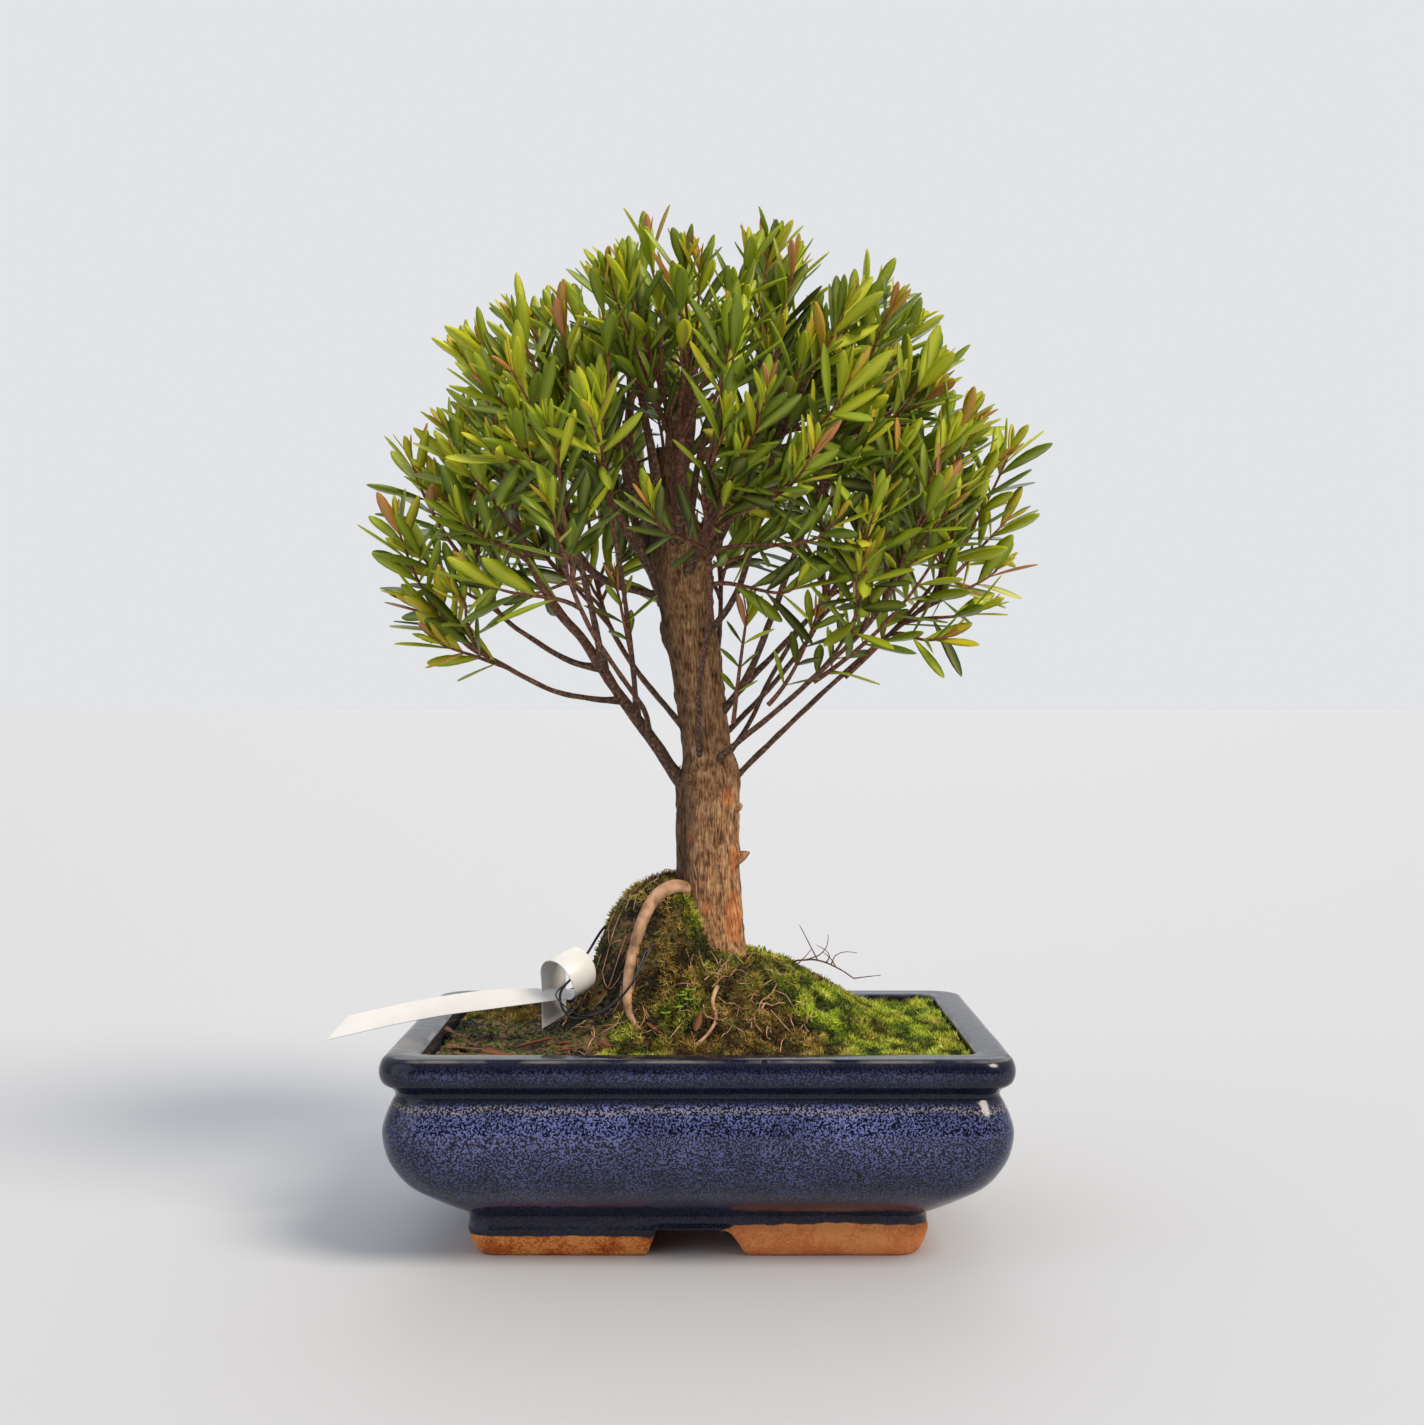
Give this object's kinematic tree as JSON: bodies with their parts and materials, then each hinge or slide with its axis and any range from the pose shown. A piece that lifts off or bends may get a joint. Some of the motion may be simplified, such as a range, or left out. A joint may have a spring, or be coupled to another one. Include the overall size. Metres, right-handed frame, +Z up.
{
  "type": "bonsai tree in a pot",
  "caption": "Small domed bonsai tree on a straight trunk and a mossy root mound, in a footed rectangular glazed stoneware pot with a blank name label.",
  "frame": {"origin": "middle of the pot, at the level that its feet stand on", "axes": "+Z up; +X to the right along the pot's long side, seen from the front; -Y towards the front"},
  "size_m": [0.3154, 0.2725, 0.4441],
  "materials": {
    "glaze": "gloss speckled blue glaze, bare terracotta under the feet",
    "plastic_mesh": "matte",
    "soil": "rough, damp",
    "moss": "rough, living moss",
    "trunk_bark": "flaky bark",
    "branch_bark": "smooth reddish bark",
    "leaf": "waxy leaves, satin",
    "dry_leaf": "dry, matte",
    "label": "white satin plastic",
    "wire": "dark anodised, satin"
  },
  "bodies": {
    "root": {"bare_root": "branch_bark", "dead_twig": "branch_bark", "drain_screen_left": "plastic_mesh", "drain_screen_right": "plastic_mesh", "dry_leaf_left": "dry_leaf", "dry_leaf_middle": "dry_leaf", "leader": "branch_bark", "limb_back": "branch_bark", "limb_back_left": "branch_bark", "limb_back_right": "branch_bark", "limb_front": "branch_bark", "limb_left_low": "branch_bark", "limb_left_stub": "branch_bark", "limb_right_back": "branch_bark", "limb_right_front": "branch_bark", "limb_right_mid": "branch_bark", "limb_right_reach": "branch_bark", "limb_right_rise": "branch_bark", "limb_top_back": "branch_bark", "limb_top_front": "branch_bark", "limb_top_left": "branch_bark", "limb_top_right": "branch_bark", "moss_carpet": "moss", "moss_mound": "moss", "moss_strip": "moss", "name_tag": "label", "pot": "glaze", "shoot_01": "leaf", "shoot_02": "leaf", "shoot_03": "leaf", "shoot_04": "leaf", "shoot_05": "leaf", "shoot_06": "leaf", "shoot_07": "leaf", "shoot_08": "leaf", "shoot_09": "leaf", "shoot_10": "leaf", "shoot_11": "leaf", "shoot_12": "leaf", "shoot_13": "leaf", "shoot_14": "leaf", "shoot_15": "leaf", "shoot_16": "leaf", "shoot_17": "leaf", "shoot_18": "leaf", "shoot_19": "leaf", "shoot_20": "leaf", "shoot_21": "leaf", "shoot_22": "leaf", "shoot_23": "leaf", "shoot_24": "leaf", "shoot_25": "leaf", "shoot_26": "leaf", "shoot_27": "leaf", "shoot_28": "leaf", "shoot_29": "leaf", "soil": "soil", "thin_root": "branch_bark", "tie_wire": "wire", "trunk": "trunk_bark"}
  },
  "joints": []
}
